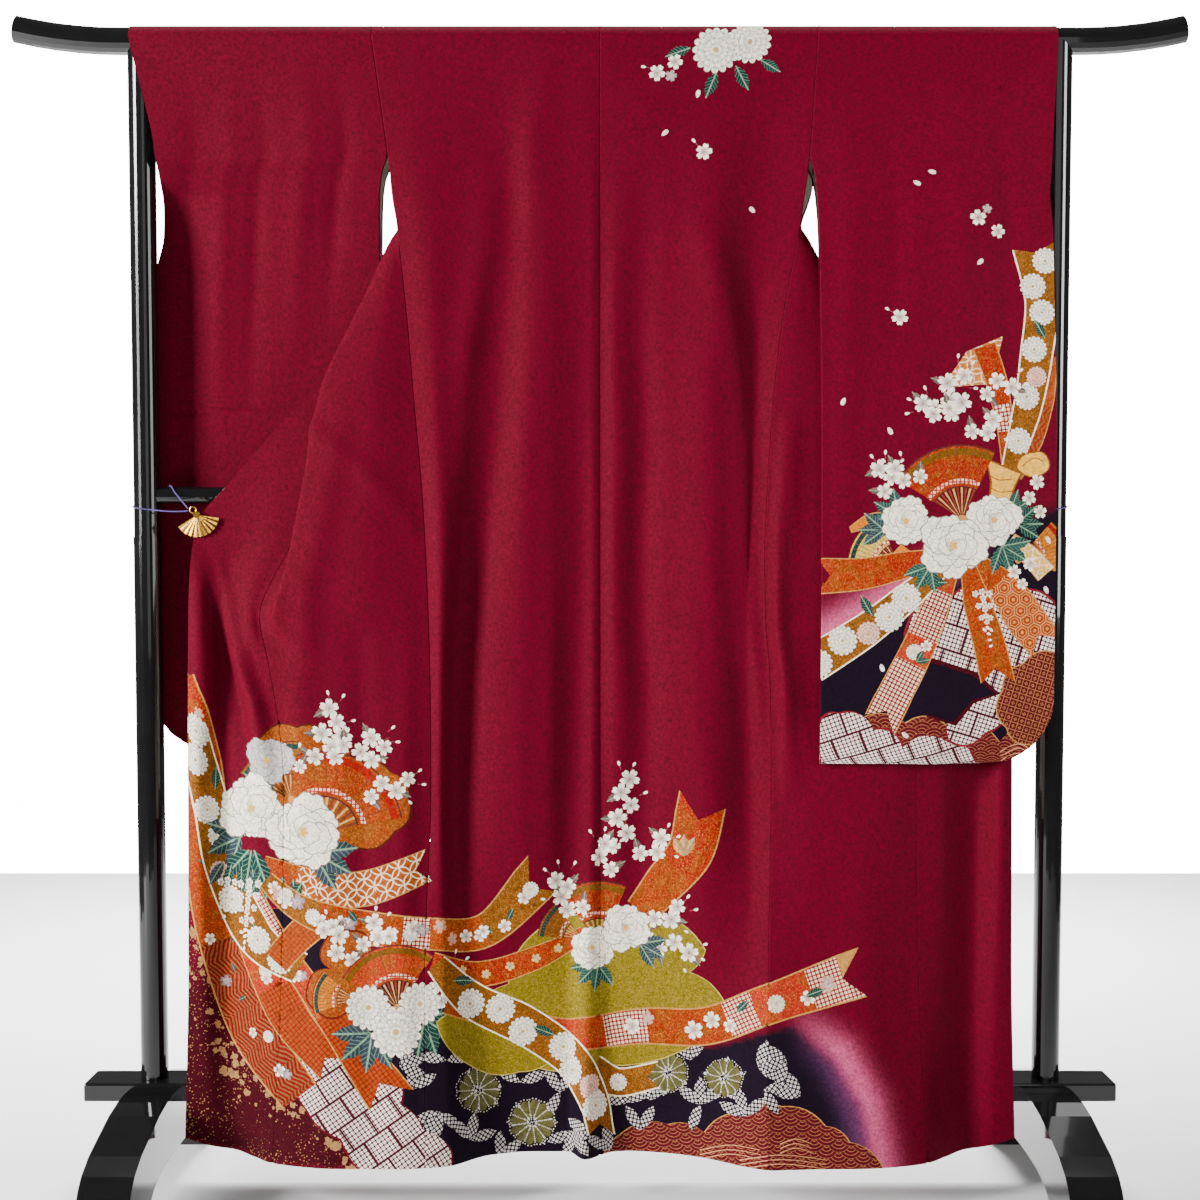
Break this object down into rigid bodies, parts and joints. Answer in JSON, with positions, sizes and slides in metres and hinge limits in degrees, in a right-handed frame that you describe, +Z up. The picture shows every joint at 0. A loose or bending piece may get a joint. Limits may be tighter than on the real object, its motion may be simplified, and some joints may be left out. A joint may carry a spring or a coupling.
{
  "type": "furisode on a kimono stand",
  "caption": "Long-sleeved formal kimono hung back outwards on a lacquered kimono stand, its fronts pulled out by fan clips on cords.",
  "frame": {"origin": "on the floor, midway between the feet and under the middle of the bar", "axes": "+Z up, -Y the side that the back of the garment faces, +X to the right seen from that side"},
  "size_m": [1.6856, 0.57, 1.7096],
  "materials": {
    "crimson_crepe": "matt silk crepe, crimson ground with a dyed flower design",
    "black_lacquer": "polished black lacquer",
    "gold_metal": "gold coloured, satin",
    "purple_cord": "purple braided cord"
  },
  "bodies": {
    "root": {"body_left": "crimson_crepe", "body_right": "crimson_crepe", "overlap_left": "crimson_crepe", "overlap_right": "crimson_crepe", "sleeve_left": "crimson_crepe", "sleeve_right": "crimson_crepe", "collar": "crimson_crepe", "top_bar": "black_lacquer", "pole_left_upper": "black_lacquer", "pole_left_lower": "black_lacquer", "pole_right_upper": "black_lacquer", "pole_right_lower": "black_lacquer", "mid_rail": "black_lacquer", "base_board": "black_lacquer", "foot_left": "black_lacquer", "foot_right": "black_lacquer", "fan_clip_left": "gold_metal", "fan_clip_right": "gold_metal", "tie_cord_left": "purple_cord", "tie_cord_right": "purple_cord"}
  },
  "joints": []
}
